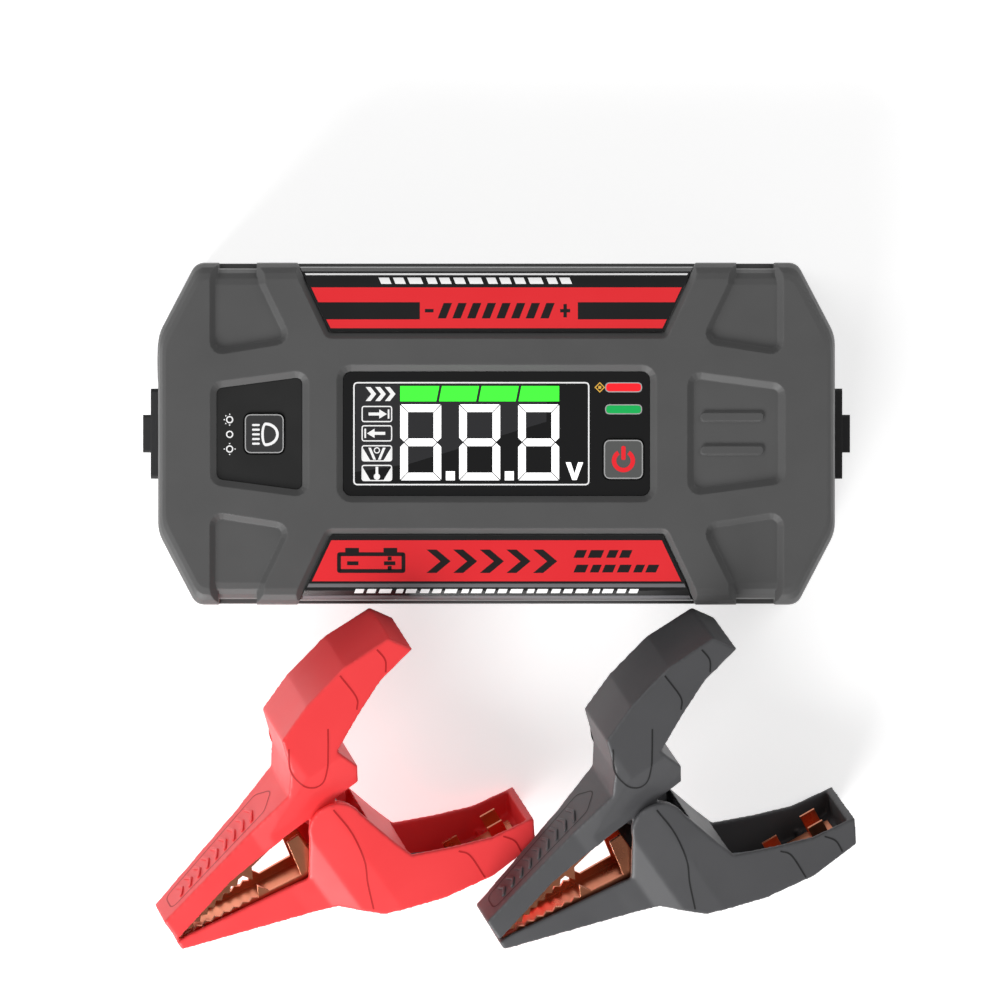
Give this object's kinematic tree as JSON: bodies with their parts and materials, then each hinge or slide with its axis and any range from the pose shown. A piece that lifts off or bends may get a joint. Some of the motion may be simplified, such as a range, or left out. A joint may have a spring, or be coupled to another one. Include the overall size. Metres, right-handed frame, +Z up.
{
  "type": "jump starter pack",
  "caption": "Flat rectangular battery pack for starting cars, with a display, buttons and covered end sockets, and a red and a black toothed clamp leaning on its side.",
  "frame": {"origin": "centre of the back face of the pack, on the surface it lies on", "axes": "+X along the pack towards its jump socket, +Y away from the clamps, +Z up out of the display"},
  "size_m": [0.2155, 0.2069, 0.0605],
  "materials": {
    "case": "fine spark texture, satin",
    "top_plate": "printed plate with red bands",
    "bottom_plate": "printed plate, red with a black border",
    "window": "polished smoked acrylic",
    "light_panel": "fine texture",
    "lcd": "dark display glass",
    "board": "green solder mask",
    "red_pipe": "clear red",
    "green_pipe": "clear green",
    "power_button": "satin grey cap with red print",
    "light_button": "satin black cap with white print",
    "switch": "plated",
    "cells": "laminate pouch",
    "straps": "nickel strip",
    "foam": "foam",
    "tray": "moulded",
    "relay": "moulded",
    "socket": "moulded blue",
    "contacts": "plated",
    "port": "stamped",
    "rubber": "matt",
    "bezel": "satin",
    "lens": "clear",
    "reflector": "mirror",
    "torch_board": "white solder mask",
    "screw": "zinc plated",
    "red_cover": "soft satin",
    "black_cover": "soft satin",
    "copper": "copper plated steel",
    "pin": "ground",
    "spring": "drawn wire"
  },
  "bodies": {
    "pack": {"front_shell": "case", "back_shell": "case", "top_label_plate": "top_plate", "bottom_label_plate": "bottom_plate", "display_window": "window", "light_panel": "light_panel", "lcd_module": "lcd", "display_board": "board", "green_light_pipe": "green_pipe", "power_switch": "switch", "light_switch": "switch", "battery_cells": "cells", "cell_straps": "straps", "foam_pads": "foam", "cell_tray": "tray", "main_board": "board", "power_relay": "relay", "jump_socket": "socket", "jump_contacts": "contacts", "usb_board": "board", "usb_a_port": "port", "usb_c_port": "port", "torch_bezel": "bezel", "torch_lens": "lens", "torch_reflector": "reflector", "torch_board": "torch_board", "case_screws": "screw", "red_light_pipe": "red_pipe"},
    "power_button": {"power_button": "power_button"},
    "light_button": {"light_button": "light_button"},
    "socket_cover": {"socket_cover": "rubber"},
    "usb_cover": {"usb_cover": "rubber"},
    "red_clamp": {"red_lower_cover": "red_cover", "red_lower_jaw": "copper", "red_pivot_pin": "pin", "red_spring": "spring", "red_lead_lug": "copper"},
    "red_upper_arm": {"red_upper_cover": "red_cover", "red_upper_jaw": "copper"},
    "black_clamp": {"black_lower_cover": "black_cover", "black_lower_jaw": "copper", "black_pivot_pin": "pin", "black_spring": "spring", "black_lead_lug": "copper"},
    "black_upper_arm": {"black_upper_cover": "black_cover", "black_upper_jaw": "copper"}
  },
  "joints": [
    {"name": "power_button_press", "type": "slide", "parent": "pack", "child": "power_button", "axis": [0, 0, -1], "range_m": [0, 0.0006], "stiffness_N_per_m": 600, "springref_m": -0.001},
    {"name": "light_button_press", "type": "slide", "parent": "pack", "child": "light_button", "axis": [0, 0, -1], "range_m": [0, 0.0006], "stiffness_N_per_m": 600, "springref_m": -0.001},
    {"name": "socket_cover_hinge", "type": "hinge", "parent": "pack", "child": "socket_cover", "pos_m": [0.1031, 0, 0.0124], "axis": [0, 1, 0], "range_deg": [0, 105]},
    {"name": "usb_cover_hinge", "type": "hinge", "parent": "pack", "child": "usb_cover", "pos_m": [-0.1031, 0, 0.0124], "axis": [0, -1, 0], "range_deg": [0, 105]},
    {"name": "red_clamp_lift", "type": "slide", "parent": "pack", "child": "red_clamp", "axis": [-0.8, 0, 0.6], "range_m": [0, 0.12]},
    {"name": "red_jaw_open", "type": "hinge", "parent": "red_clamp", "child": "red_upper_arm", "pos_m": [-0.051, -0.1145, 0.03041], "axis": [-0.2424, 0.3462, -0.9063], "range_deg": [0, 25], "stiffness_Nm_per_rad": 0.6, "springref_deg": -34.38},
    {"name": "black_clamp_lift", "type": "slide", "parent": "pack", "child": "black_clamp", "axis": [0, 0, 1], "range_m": [0, 0.12]},
    {"name": "black_jaw_open", "type": "hinge", "parent": "black_clamp", "child": "black_upper_arm", "pos_m": [0.046, -0.1145, 0.03041], "axis": [-0.2424, 0.3462, -0.9063], "range_deg": [0, 25], "stiffness_Nm_per_rad": 0.6, "springref_deg": -34.38}
  ]
}
